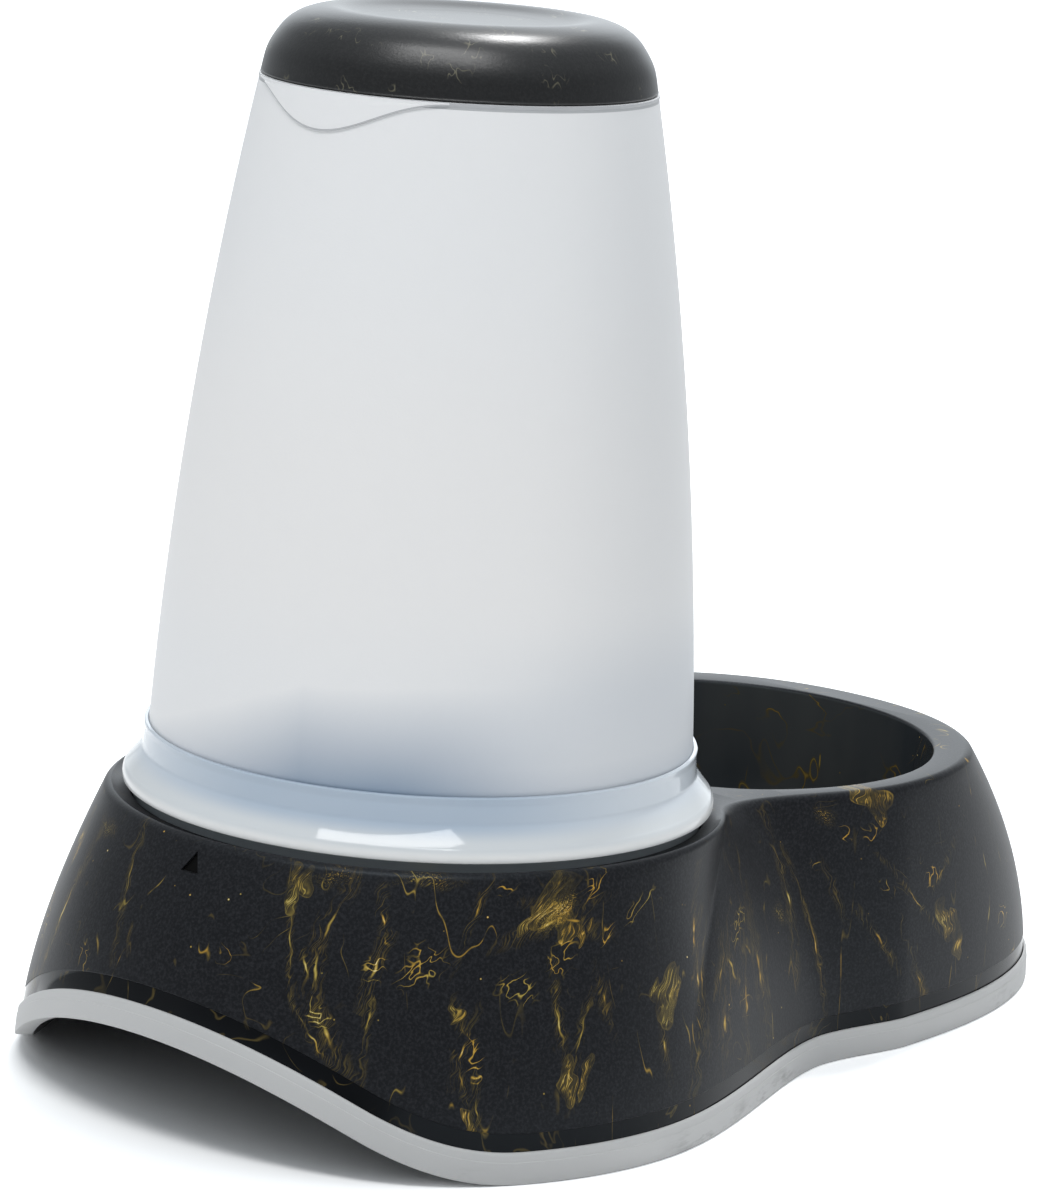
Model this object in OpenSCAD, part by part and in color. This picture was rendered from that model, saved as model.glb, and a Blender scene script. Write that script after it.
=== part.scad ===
// Gravity pet water dispenser, in millimetres.
// A bottle with a lid stands upside down on a base with a bowl. +Z is up, the bowl is at -Y
// and the bottle at +Y. The origin is the centre of the outline, on the floor.

/* [Base] */
// Height of the land round the bowl
land_height = 74.6; // [66:0.2:90]
// Extra height of the lip round the bottle
lip_rise = 1.9; // [0.5:0.1:4]
// Outer radius of the lip round the bottle
lip_radius = 84; // [82.5:0.1:90]
// Radius of the foot line behind and beside the bottle
rear_foot_radius = 98.7; // [92:0.1:110]
// How far the centre of that foot line lies behind the bottle
rear_foot_shift = 9; // [0:0.2:14]
// Distance from the bottle to the centre of the bowl
bowl_distance = 126.9; // [124:0.1:140]
// Distance from the bottle to the front end of the foot line
front_reach = 241; // [230:0.5:270]
// Half width of the foot line beside the bowl
front_foot_half_width = 81.6; // [78:0.1:95]
// Half width of the foot line at its waist
waist_foot_half_width = 76.6; // [70:0.1:84]
// Half width of the land at its waist
waist_land_half_width = 59.8; // [57:0.1:64]
// Width of the land beside the bowl
land_width = 7.7; // [5:0.1:11]
// Width of the land in front of the bowl
front_land_width = 12.1; // [7:0.1:16]
// How the wall pulls in towards the top, 1 is straight
wall_power = 1.95; // [1.5:0.05:2.6]
// Thickness of the moulded walls
wall = 2.6; // [2:0.1:3.2]
// Rounding of the land's outer edge
edge_radius = 1.8; // [0.8:0.1:2.4]
// Height of the arch at the back
arch_height = 28.2; // [18:0.2:34]
// Radius of the arch at the back
arch_radius = 116; // [100:1:150]
// How softly the arch runs into the floor
arch_blend = 12; // [2:0.5:16]

/* [Bowl and well] */
// Radius of the bowl's opening
bowl_radius = 66.5; // [64:0.1:68]
// Radius of the bowl's floor at the start of its curve
bowl_floor_radius = 44; // [36:0.5:50]
// Height of the bowl's floor
bowl_floor = 22; // [14:0.5:28]
// Radius of the well below the bottle's neck
well_radius = 54; // [52:0.5:56]
// Clearance round the bottle's skirt in its recess
seat_gap = 0.8; // [0.4:0.1:1.5]
// Depth of the shelf that the bottle's skirt stands on, below the land
seat_depth = 4.6; // [3.6:0.2:7]
// Rise of the ledge under the flange above the land
ledge_rise = 0.5; // [0:0.1:1]
// Width of the channel between the well and the bowl
channel_width = 36; // [20:1:50]
// Radius of the post that opens the valve
post_radius = 4; // [3:0.1:6]

/* [Ring] */
// Height of the rubber ring
ring_height = 8.4; // [6:0.1:12]
// Height of the ring over the arch
ring_back_height = 7.2; // [5:0.1:10]
// How far the ring stands out from the wall
ring_proud = 1; // [0.4:0.1:2]
// Thickness of the ring inside the wall
ring_inside = 1.6; // [1:0.1:3]
// Thickness of the ring under the wall
ring_floor = 2; // [1.2:0.1:3.5]

/* [Bottle] */
// Radius of the flange at the foot of the bottle
flange_radius = 80; // [79:0.1:80.4]
// Height of the flange above the land
flange_gap = 3.2; // [2.4:0.1:5]
// Height of the collar above the flange
collar_height = 16; // [12:0.2:22]
// Outer radius of the collar at its ridge
collar_radius = 74.6; // [73.8:0.1:75.4]
// Radius of the bottle's wall at the collar
body_radius = 73.4; // [72:0.1:73.5]
// Height of the bottle's wall above the collar
body_height = 174.8; // [100:0.5:260]
// Radius of the bottle at the lid
neck_down_radius = 52.3; // [44:0.1:60]
// Bulge of the bottle's wall
body_bulge = 6.4; // [0:0.1:12]
// Thickness of the bottle's wall
body_wall = 2.2; // [1.6:0.1:3]
// Outer radius of the neck
neck_radius = 31; // [26:0.2:34]
// Wall thickness of the neck
neck_wall = 2.4; // [1.8:0.1:3.2]
// How far the skirt stands in from the flange's edge
skirt_inset = 2.8; // [2:0.1:4]
// Height of the rim under the lid
rim_height = 1.3; // [0.8:0.1:2.5]
// How far the rim and its tab stand out
rim_proud = 0.6; // [0.3:0.1:1]
// Drop of the tab at the back, under the rim
tab_drop = 9.2; // [5:0.1:14]
// Half of the angle that the tab spans
tab_angle = 38; // [25:1:55]

/* [Lid] */
// Height of the lid
lid_height = 18.2; // [13:0.1:26]
// Depth of the dish in the lid
dish_depth = 2; // [0.6:0.1:3]
// Thickness of the lid
lid_wall = 2.5; // [1.6:0.1:3]
// Clearance between the lid and the bottle
lid_gap = 0.1; // [0.05:0.05:0.3]

/* [Valve] */
// Travel of the valve plunger
plunger_travel = 4; // [2:0.1:5]
// Radius of the plunger's stem
stem_radius = 2.5; // [1.8:0.1:3.2]
// Radius of the plunger's disc
disc_radius = 11; // [9.5:0.1:13]
// Radius of the hole in the cap
cap_hole_radius = 7; // [5:0.1:8]
// Room for the spring when the bottle stands
spring_room = 12; // [10:0.5:16]
// Height of the screw cap
cap_height = 15; // [12:0.5:18]
// Thickness of the plates and washers of the valve
plate = 2; // [1.5:0.1:2.6]
// Thickness of the wire of the spring
wire = 1.2; // [0.8:0.1:1.6]
// Turns of the spring
spring_turns = 4; // [3:1:5]

/* [Hidden] */

// points along each half outline
n_arc = 16;
n_side = 6;
n_front = 12;
half_count = n_arc + 2 * n_side + n_front;

// a curve that leaves p with the direction dp and arrives at q with the direction dq
function blend(p, dp, q, dq, n) = [for (i = [1:n]) let(t = i / n)
    (2 * pow(t, 3) - 3 * t * t + 1) * p + (pow(t, 3) - 2 * t * t + t) * dp
    + (3 * t * t - 2 * pow(t, 3)) * q + (pow(t, 3) - t * t) * dq];

// half of an outline from the back to the front, as [half width, distance forward]
function half_line(c, r, turn, waist, wide, front, power, m1, m2) =
    let(arc = [for (i = [0:n_arc]) let(a = turn * i / n_arc) [r * sin(a), c - r * cos(a)]],
        d1 = norm(waist - arc[n_arc]),
        d2 = norm(wide - waist),
        into = [cos(turn), sin(turn)])
    concat(arc,
        blend(arc[n_arc], into * d1, waist, [0, d1 * m1], n_side),
        blend(waist, [0, d2 * m2], wide, [0, d2 * m1], n_side),
        [for (i = [1:n_front]) let(a = 90 * i / n_front)
            [i == n_front ? 0 : wide[0] * pow(cos(a), 2 / power),
             wide[1] + (front - wide[1]) * pow(sin(a), 2 / power)]]);

foot_line = half_line(-rear_foot_shift, rear_foot_radius, 95,
    [waist_foot_half_width, bowl_distance - 37.5], [front_foot_half_width, bowl_distance - 5],
    front_reach, 2.45, 0.65, 1);
land_line = half_line(0, lip_radius, 129,
    [waist_land_half_width, bowl_distance - 56], [bowl_radius + land_width, bowl_distance],
    bowl_distance + bowl_radius + front_land_width, 2.13, 1.2, 0.87);

// height of the top edge over a point of the land line
function soft(t) = let(s = max(0, min(1, t))) s * s * (3 - 2 * s);
function top_height(i) = land_height + lip_rise * soft((86 - land_line[i][1]) / 50);
// height of the arch at a distance from its middle, with a soft run into the floor
function arch(x) = let(h = arch_height - arch_radius + sqrt(max(0, pow(arch_radius, 2) - x * x)))
    max(0, h) + pow(max(0, arch_blend - abs(h)), 2) / (4 * arch_blend);
// height of the foot over the floor, and of the ring's top edge, at a point of the foot line
function foot_height(i) = foot_line[i][1] < 0 ? arch(foot_line[i][0]) : 0;
function ring_top(i) = foot_height(i)
    + ring_height - (ring_height - ring_back_height) * foot_height(i) / arch_height;
// a point of the wall's outside at the height z
function wall_point(i, z) = let(s = pow(max(0, z) / top_height(i), wall_power))
    foot_line[i] + (land_line[i] - foot_line[i]) * s;

// a closed level of the wall: one height for each point, moved in by a distance
function moved_in(p, d) = [for (i = [0:half_count])
    let(a = p[max(0, i - 1)], b = p[min(half_count, i + 1)],
        along = (i == 0 || i == half_count) ? [1, 0] * (i == 0 ? 1 : -1) : (b - a) / norm(b - a),
        q = p[i] + d * [-along[1], along[0]])
    (i == 0 || i == half_count) ? [0, q[1]] : [max(0.2, q[0]), q[1]]];
function level(z, d) = let(q = moved_in([for (i = [0:half_count]) wall_point(i, z[i])], d))
    [for (i = [0:half_count]) [q[i][0], q[i][1], z[i]]];

// the ring's outside gives the length of the whole, and so the place of the origin
ring_line = level([for (i = [0:half_count]) foot_height(i)], -ring_proud);
ring_forward = [for (p = ring_line) p[1]];
bottle_y = round(10 * (max(ring_forward) + min(ring_forward)) / 2) / 10;
bowl_y = bottle_y - bowl_distance;

function side(p) = [p[0], bottle_y - p[1], p[2]];
function other(p) = [-p[0], bottle_y - p[1], p[2]];
function closed(l) = concat([for (p = l) side(p)],
    [for (i = [half_count - 1:-1:1]) other(l[i])]);
loop_count = 2 * half_count;
function mirror_of(i) = (i == 0 || i == half_count) ? i : loop_count - i;

// a solid between a stack of levels, closed by strips across its bottom and its top
module stack(levels) {
    top = (len(levels) - 1) * loop_count;
    polyhedron(
        points = [for (l = levels) each closed(l)],
        faces = concat(
            [for (k = [0:len(levels) - 2]) for (i = [0:loop_count - 1])
                let(j = (i + 1) % loop_count, a = k * loop_count, b = a + loop_count)
                each [[b + j, b + i, a + i], [b + j, a + i, a + j]]],
            [for (i = [0:half_count - 1]) i == 0 ? [top, top + 1, top + mirror_of(1)]
                : i == half_count - 1 ? [top + i, top + i + 1, top + mirror_of(i)]
                : [top + i, top + i + 1, top + mirror_of(i + 1), top + mirror_of(i)]],
            [for (i = [0:half_count - 1]) i == 0 ? [mirror_of(1), 1, 0]
                : i == half_count - 1 ? [mirror_of(i), i + 1, i]
                : [mirror_of(i), mirror_of(i + 1), i + 1, i]]),
        convexity = 6);
}

function all_heights(z) = [for (i = [0:half_count]) z];
function above_foot(z) = [for (i = [0:half_count]) foot_height(i) + z];
function to_ring_top(t, d) = [for (i = [0:half_count])
    foot_height(i) + (ring_top(i) - foot_height(i)) * t + d];
function between(t) = [for (i = [0:half_count])
    let(a = ring_top(i), b = top_height(i) - edge_radius) a + (b - a) * t];
function near_top(a) = [for (i = [0:half_count]) top_height(i) - edge_radius * (1 - sin(a))];
function under_top() = [for (i = [0:half_count])
    land_height - wall - seat_depth * soft((bowl_distance - 47 - land_line[i][1]) / 14)];
seat_height = land_height - seat_depth;
skirt_radius = flange_radius - skirt_inset;
seat_radius = skirt_radius + seat_gap;

module wall_outside() {
    stack(concat(
        [level(above_foot(ring_floor), 0), level(to_ring_top(1, 0), 0)],
        [for (t = [0.25, 0.5, 0.7, 0.86, 1]) level(between(t), 0)],
        [for (a = [30, 60, 90]) level(near_top(a), edge_radius * (1 - cos(a)))]));
}

module wall_inside(d) {
    stack(concat(
        [level(all_heights(-5), d)],
        [for (t = [0.12, 0.3, 0.5, 0.7, 0.86, 1]) level(under_top() * t, d)]));
}

// a bowl's section, moved out by d
function bowl_section(r, r_floor, z_floor, z_top, d) = concat(
    [[0, z_floor - d]],
    [for (i = [0:8]) let(a = 90 * i / 8, run = r - 1.5 - r_floor, rise = run * 1.25)
        [r_floor + (run + d) * sin(a), z_floor - d + (rise + d) * (1 - cos(a))]],
    [[r + d, z_top], [0, z_top]]);

channel_floor = bowl_floor;
post_top = seat_height - 24;

module bowl_solid(d, z_top) {
    translate([0, bowl_y, 0])
        rotate_extrude($fn = 96)
            polygon(bowl_section(bowl_radius, bowl_floor_radius, bowl_floor, z_top, d));
}

module well_solid(d, z_top) {
    translate([0, bottle_y, bowl_floor - d])
        cylinder(r = well_radius + d, h = z_top - bowl_floor + d, $fn = 72);
}

module channel_solid(d, z_top) {
    translate([-channel_width / 2 - d, bottle_y - well_radius - 30, channel_floor - d])
        cube([channel_width + 2 * d, 50, z_top - channel_floor + d]);
}

// what the arch takes away, raised by d
module under_arch(d) {
    half = arch_radius * 0.8;
    translate([0, bottle_y + well_radius + wall + 74, d])
        rotate([90, 0, 0])
            linear_extrude(70)
                polygon(concat([for (i = [-20:20]) [half * i / 20, arch(half * i / 20)]],
                    [[half, -20], [-half, -20]]));
}

module triangle_mark() {
    translate([0, bottle_y + lip_radius + 2.6, seat_height + 0.6])
        rotate([-90, 0, 0])
            linear_extrude(8)
                polygon([[-3, 2.2], [3, 2.2], [0, -2.8]]);
}

// one moulding: skin, land, bowl, well, channel and post
module base_shell() {
    color([0.15, 0.15, 0.165])
    union() {
        difference() {
            union() {
                difference() {
                    wall_outside();
                    wall_inside(wall);
                }
                bowl_solid(wall, land_height - wall / 2);
                well_solid(wall, seat_height - wall / 2);
                channel_solid(wall, seat_height - wall / 2);
            }
            bowl_solid(0, land_height + 5);
            well_solid(0, seat_height + 5);
            channel_solid(0, seat_height + 5);
            translate([0, bottle_y, seat_height])
                cylinder(r = seat_radius, h = 20, $fn = 120);
            translate([0, bottle_y, 0])
                rotate_extrude($fn = 120)
                    polygon([[0, land_height + ledge_rise],
                        [flange_radius + 0.6, land_height + ledge_rise],
                        [lip_radius - 0.8, land_height + lip_rise + 0.1],
                        [lip_radius - 0.8, land_height + 20], [0, land_height + 20]]);
            under_arch(ring_floor);
            triangle_mark();
        }
        translate([0, bottle_y, bowl_floor - wall / 2])
            cylinder(r = post_radius, h = post_top - bowl_floor + wall / 2, $fn = 32);
    }
}

// the rubber ring round the foot, with a groove for the wall
module foot_ring() {
    color([0.73, 0.73, 0.73])
    difference() {
        stack([level(above_foot(0), 0.4 - ring_proud), level(above_foot(0.6), -ring_proud),
            level(to_ring_top(1, -0.8), -ring_proud), level(to_ring_top(1, 0), 0.5 - ring_proud)]);
        stack([level(all_heights(-5), wall + ring_inside),
            level([for (i = [0:half_count]) foot_height(i) * 0.5 + 10], wall + ring_inside),
            level([for (i = [0:half_count]) foot_height(i) + 20], wall + ring_inside)]);
        difference() {
            stack([level(above_foot(ring_floor), -0.1), level(to_ring_top(1, 0), -0.1),
                level(to_ring_top(1, 8), -0.1)]);
            stack([level(all_heights(-6), wall + 0.1),
                level([for (i = [0:half_count]) foot_height(i) * 0.5 + 10], wall + 0.1),
                level([for (i = [0:half_count]) foot_height(i) + 20], wall + 0.1)]);
            under_arch(ring_floor);
        }
        under_arch(0);
    }
}

flange_z = land_height + flange_gap;
collar_z = flange_z + collar_height;
lid_z = collar_z + body_height;
socket_z = collar_z - 8.3;
seal_height = 1.5;
neck_end = post_top + 6;
cap_z = post_top + 2;
cap_plate = 2.5;

// radius of the bottle's outside, t goes from 0 at the collar to 1 at the lid
function bottle_radius(t) = body_radius + (neck_down_radius - body_radius) * t
    + body_bulge * 4 * t * (1 - t) * 0.5;

// the frosted part of the bottle, closed at its top, with a rim and a tab
module tank_body() {
    steps = 12;
    spigot = neck_down_radius - lid_wall - lid_gap;
    top_z = lid_z + lid_height * 0.45;
    tab_top = lid_z - rim_height;
    tab_half = neck_down_radius * sin(tab_angle);
    proud = rim_proud;
    color([0.88, 0.89, 0.9])
    translate([0, bottle_y, 0])
    union() {
        rotate_extrude($fn = 96)
            polygon(concat(
                [[body_radius - body_wall, socket_z + seal_height],
                 [body_radius, socket_z + seal_height]],
                [for (i = [0:steps]) [bottle_radius(i / steps), collar_z + body_height * i / steps]],
                [[spigot, lid_z], [spigot, lid_z + lid_height * 0.2],
                 [spigot - 4.5, top_z], [0, top_z], [0, top_z - body_wall],
                 [spigot - 5.5, top_z - body_wall],
                 [spigot - body_wall, lid_z + lid_height * 0.2],
                 [spigot - body_wall, lid_z - 2]],
                [for (i = [steps:-1:0])
                    [bottle_radius(i / steps) - body_wall,
                     min(lid_z - 3, collar_z + body_height * i / steps)]]));
        rotate_extrude($fn = 96)
            polygon([[neck_down_radius - 1, tab_top - 0.3], [neck_down_radius + proud * 0.6, tab_top],
                [neck_down_radius + proud * 0.6, lid_z - 0.3], [neck_down_radius - 1, lid_z - 0.3]]);
        intersection() {
            rotate_extrude($fn = 96)
                polygon([[neck_down_radius - 1, lid_z - 0.4],
                    [neck_down_radius + proud, lid_z - 0.4],
                    [bottle_radius(1 - (tab_drop + 3) / body_height) + proud, tab_top - tab_drop - 1],
                    [bottle_radius(1 - (tab_drop + 3) / body_height) - 1, tab_top - tab_drop - 1]]);
            translate([0, neck_down_radius + 10, 0])
                rotate([90, 0, 0])
                    linear_extrude(neck_down_radius)
                        polygon(concat(
                            [for (i = [-12:12]) [tab_half * i / 12,
                                tab_top - tab_drop * (1 + cos(15 * i)) / 2]],
                            [[tab_half, lid_z], [-tab_half, lid_z]]));
        }
    }
}

// the glossy foot of the bottle: collar, flange, skirt, funnel and neck
module tank_foot() {
    inner = body_radius + 0.1;
    color([0.8, 0.83, 0.86])
    translate([0, bottle_y, 0])
        rotate_extrude($fn = 96)
            polygon(concat(
                [[inner, collar_z], [collar_radius, collar_z],
                 [collar_radius + 0.2, collar_z - collar_height * 0.43],
                 [collar_radius + 0.6, collar_z - collar_height * 0.47]],
                [for (i = [0:5]) let(a = 40 + 50 * i / 5)
                    [flange_radius - 3.4 * (1 - sin(a)), flange_z + 1.1 + 3.6 * cos(a)]],
                [[flange_radius, flange_z], [skirt_radius, flange_z],
                 [skirt_radius, seat_height], [skirt_radius - neck_wall, seat_height],
                 [skirt_radius - neck_wall, socket_z - 9.5],
                 [neck_radius + 3, socket_z - 20],
                 [neck_radius, socket_z - 21], [neck_radius, neck_end],
                 [neck_radius - neck_wall, neck_end],
                 [neck_radius - neck_wall, socket_z - 18],
                 [neck_radius + 2, socket_z - 17],
                 [body_radius - body_wall - 1.2, socket_z - 3],
                 [body_radius - body_wall - 1.2, socket_z],
                 [inner, socket_z]]));
}

module ring(r_in, r_out, z, h, n) {
    translate([0, bottle_y, z])
        difference() {
            cylinder(r = r_out, h = h, $fn = n);
            translate([0, 0, -1])
                cylinder(r = r_in, h = h + 2, $fn = n);
        }
}

module tank_seal() {
    color([0.2, 0.2, 0.22])
    ring(body_radius - body_wall, body_radius, socket_z, seal_height, 96);
}

// height and radius factors of the lid's round side
lid_curve = [[1, 0], [0.994, 0.077], [0.981, 0.286], [0.969, 0.396], [0.948, 0.505],
    [0.918, 0.637], [0.887, 0.753], [0.836, 0.863], [0.746, 0.962], [0.67, 1], [0.62, 0.99]];

module lid() {
    r = neck_down_radius;
    color([0.14, 0.14, 0.15])
    translate([0, bottle_y, lid_z])
        rotate_extrude($fn = 96)
            polygon(concat(
                [for (p = lid_curve) [r * p[0], lid_height * p[1]]],
                [[r * 0.52, lid_height - dish_depth * 0.75], [r * 0.4, lid_height - dish_depth],
                 [0, lid_height - dish_depth]],
                [[0, lid_height - dish_depth - lid_wall],
                 [r * 0.68, lid_height - dish_depth - lid_wall],
                 [r * 0.8, lid_height * 0.7], [r * 0.88, lid_height * 0.5],
                 [r - lid_wall, lid_height * 0.22], [r - lid_wall, 0]]));
}

// the screw cap with its grip ribs and the hole for the water
module valve_cap() {
    outer = neck_radius + 4;
    height = cap_height;
    color([0.16, 0.17, 0.19])
    difference() {
        union() {
            translate([0, bottle_y, cap_z])
                cylinder(r = outer, h = height, $fn = 72);
            for (i = [0:23]) {
                translate([0, bottle_y, cap_z + 1])
                    rotate([0, 0, i * 15])
                        translate([outer - 0.5, -1, 0])
                            cube([1.4, 2, height - 2]);
            }
        }
        translate([0, bottle_y, cap_z + cap_plate])
            cylinder(r = neck_radius + 0.1, h = height, $fn = 72);
        translate([0, bottle_y, cap_z - 1])
            cylinder(r = cap_hole_radius, h = cap_plate + 2, $fn = 48);
    }
}

module cap_gasket() {
    color([0.55, 0.56, 0.58])
    ring(neck_radius - neck_wall, neck_radius, cap_z + cap_plate,
        neck_end - cap_z - cap_plate, 72);
}

plate_z = cap_z + cap_plate;
seal_z = plate_z + plunger_travel;
disc_z = seal_z + seal_height;
hub_z = disc_z + plate + spring_room;

// the cage that holds the spring over the cap's hole
module valve_guide() {
    color([0.8, 0.8, 0.78])
    difference() {
        union() {
            ring(16, 19, plate_z, plate, 48);
            for (i = [0:2]) {
                translate([0, bottle_y, 0])
                    rotate([0, 0, 90 + i * 120])
                        translate([16, -2, plate_z + 1]) {
                            cube([2.6, 4, hub_z + 1 - plate_z]);
                            translate([-14, 0, hub_z - plate_z - 1])
                                cube([15, 4, plate]);
                        }
            }
            translate([0, bottle_y, hub_z])
                cylinder(r = 7, h = plate, $fn = 32);
        }
        translate([0, bottle_y, hub_z - 1])
            cylinder(r = stem_radius + 0.1, h = 6, $fn = 32);
    }
}

module valve_plunger() {
    color([0.85, 0.85, 0.82])
    translate([0, bottle_y, 0])
    union() {
        translate([0, 0, post_top])
            cylinder(r = stem_radius, h = hub_z + 6 - post_top, $fn = 32);
        translate([0, 0, disc_z])
            cylinder(r = disc_radius, h = plate, $fn = 48);
    }
}

module plunger_seal() {
    color([0.25, 0.25, 0.27])
    ring(stem_radius + 0.05, disc_radius - 0.5, seal_z, seal_height, 48);
}

// a coil spring swept round its axis
module valve_spring() {
    sides = 8;
    turn_steps = 16;
    count = turn_steps * spring_turns;
    coil = 5;
    low = disc_z + plate + wire / 2;
    high = hub_z - wire / 2;
    color([0.75, 0.76, 0.78])
    translate([0, bottle_y, 0])
        polyhedron(
            points = [for (k = [0:count]) let(a = 360 * k / turn_steps) for (s = [0:sides - 1])
                let(b = 360 * s / sides, r = coil + wire / 2 * cos(b))
                [r * cos(a), r * sin(a), low + (high - low) * k / count + wire / 2 * sin(b)]],
            faces = concat(
                [for (k = [0:count - 1]) for (s = [0:sides - 1])
                    let(t = (s + 1) % sides, p = k * sides, q = p + sides)
                    each [[p + s, p + t, q + s], [p + t, q + t, q + s]]],
                [[for (s = [sides - 1:-1:0]) s]],
                [[for (s = [0:sides - 1]) count * sides + s]]),
            convexity = 12);
}

base_shell();
foot_ring();
tank_body();
tank_foot();
tank_seal();
lid();
valve_cap();
cap_gasket();
valve_guide();
valve_plunger();
plunger_seal();
valve_spring();
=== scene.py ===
import math
import bpy
import numpy as np
from mathutils import Matrix, Vector


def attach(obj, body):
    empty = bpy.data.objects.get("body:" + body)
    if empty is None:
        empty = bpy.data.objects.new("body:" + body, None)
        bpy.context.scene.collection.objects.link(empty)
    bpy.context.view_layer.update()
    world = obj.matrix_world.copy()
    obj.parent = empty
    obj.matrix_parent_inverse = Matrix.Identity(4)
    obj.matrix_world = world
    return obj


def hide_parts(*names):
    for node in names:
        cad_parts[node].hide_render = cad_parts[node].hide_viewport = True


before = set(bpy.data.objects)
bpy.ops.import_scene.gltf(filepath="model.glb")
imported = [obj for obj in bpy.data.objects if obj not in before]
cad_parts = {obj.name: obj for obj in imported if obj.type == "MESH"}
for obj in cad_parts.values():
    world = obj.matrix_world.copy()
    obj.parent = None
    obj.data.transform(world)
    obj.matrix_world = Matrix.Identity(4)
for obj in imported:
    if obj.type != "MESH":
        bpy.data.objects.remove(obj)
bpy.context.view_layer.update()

# sizes are in millimetres, in the frame's own axes
MM = 0.001
BOTTLE_Y, BOWL_Y = 68.3, -58.6
LAND_Z, LIP_RISE = 74.6, 1.9
WALL, EDGE, RING_FLOOR = 2.6, 1.8, 2.0
BOWL_R, BOWL_FLOOR_R, BOWL_FLOOR = 66.5, 44.0, 22.0
WELL_R, SEAT_R, SEAT_Z, CHANNEL = 54.0, 78.0, 70.0, 18.0
FLANGE_R, FLANGE_Z, COLLAR_Z = 80.0, 77.8, 93.8
BODY_R, LID_R, LID_Z, LID_H, BULGE = 73.4, 52.3, 268.6, 18.2, 6.4
NECK_R, NECK_END, SOCKET_Z = 31.0, 52.0, 85.5
BODY_WALL, SHELF_WALL = 2.2, 1.3
ARCH_R, ARCH_H = 116, 28.2
# how soon the wall leans in: the power of the height, as a share of the whole
PULL_IN = 1.95
# height of the glossy band over the ring
GLOSS_BAND = 4.6
# the triangle mark: half its width, then height and distance from the bottle's axis of its foot
# and of its tip, and the largest face in it, in square metres
MARK_HALF, MARK_FOOT, MARK_TIP = 3, (68.4, 87.7), (73.6, 84.8)
MARK_AREA = 6e-5
# the tab at the rim: half its angle in degrees, how far it hangs down, and its steps along
TAB_ANGLE, TAB_DROP, TAB_STEPS = 38, 9.2, 96


def blend(p, dp, q, dq, n):
    """Points of a curve from p to q that leaves with dp and comes in with dq."""
    t = (np.arange(1, n + 1) / n)[:, None]
    return ((2 * t**3 - 3 * t**2 + 1) * p + (t**3 - 2 * t**2 + t) * dp
            + (3 * t**2 - 2 * t**3) * q + (t**3 - t**2) * dq)


def half_line(c, r, turn, waist, wide, front, power, m1, m2, n=(64, 28, 28, 48)):
    """Half of a figure-eight line: an arc round the bottle, the waist, and the front of the bowl."""
    a = np.radians(np.linspace(0, turn, n[0] + 1))
    arc = np.c_[r * np.sin(a), c - r * np.cos(a)]
    waist, wide = np.array(waist, float), np.array(wide, float)
    d1, d2 = np.linalg.norm(waist - arc[-1]), np.linalg.norm(wide - waist)
    into = np.array([math.cos(a[-1]), math.sin(a[-1])])
    t = np.radians(np.linspace(0, 90, n[3] + 1))[1:]
    tip = np.c_[wide[0] * np.clip(np.cos(t), 0, 1)**(2 / power),
                wide[1] + (front - wide[1]) * np.sin(t)**(2 / power)]
    tip[-1, 0] = 0
    return np.r_[arc, blend(arc[-1], into * d1, waist, np.array([0, d1 * m1]), n[1]),
                 blend(waist, np.array([0, d2 * m2]), wide, np.array([0, d2 * m1]), n[2]), tip]


FOOT = half_line(-9, 98.7, 95, [76.6, 89.4], [81.6, 121.9], 241, 2.45, 0.65, 1)
LAND = half_line(0, 84, 129, [59.8, 70.9], [74.2, 126.9], 205.5, 2.13, 1.2, 0.87)
HALF = len(FOOT)


def soft(t):
    s = np.clip(t, 0, 1)
    return s * s * (3 - 2 * s)


TOP = LAND_Z + LIP_RISE * soft((86 - LAND[:, 1]) / 50)
RISE = ARCH_H - ARCH_R + np.sqrt(np.maximum(0, ARCH_R**2 - FOOT[:, 0]**2))
ARCH = np.where(FOOT[:, 1] < 0, np.maximum(0, RISE) + np.maximum(0, 12 - abs(RISE))**2 / 48, 0)
RING_TOP = ARCH + 8.4 - 1.2 * ARCH / ARCH_H


def level(z, inset):
    """Half of the wall's outline at the height z, moved in by inset."""
    z = np.broadcast_to(np.asarray(z, float), (HALF,))
    s = (np.maximum(z, 0) / TOP)**PULL_IN
    p = FOOT + (LAND - FOOT) * s[:, None]
    d = np.empty_like(p)
    d[1:-1] = p[2:] - p[:-2]
    d[0], d[-1] = [1, 0], [-1, 0]
    d /= np.linalg.norm(d, axis=1)[:, None]
    q = p + inset * np.c_[-d[:, 1], d[:, 0]]
    q[0, 0] = q[-1, 0] = 0
    return np.c_[q[:, 0], BOTTLE_Y - q[:, 1], z]


def closed(half):
    other = half[HALF - 2:0:-1].copy()
    other[:, 0] *= -1
    return np.r_[half, other]


def joined(a, b, n):
    """Faces between two closed rows of n points that start at a and b."""
    return [(b + i, b + (i + 1) % n, a + (i + 1) % n, a + i) for i in range(n)]


def mesh_object(name, verts, faces, sharp=35):
    me = bpy.data.meshes.new(name)
    me.from_pydata([tuple(v) for v in np.asarray(verts) * MM], [], faces)
    me.validate()
    ob = bpy.data.objects.new(name, me)
    bpy.context.collection.objects.link(ob)
    smooth(ob, sharp)
    return ob


def smooth(ob, sharp=35):
    for p in ob.data.polygons:
        p.use_smooth = True
    ob.data.set_sharp_from_angle(angle=math.radians(sharp))


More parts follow.
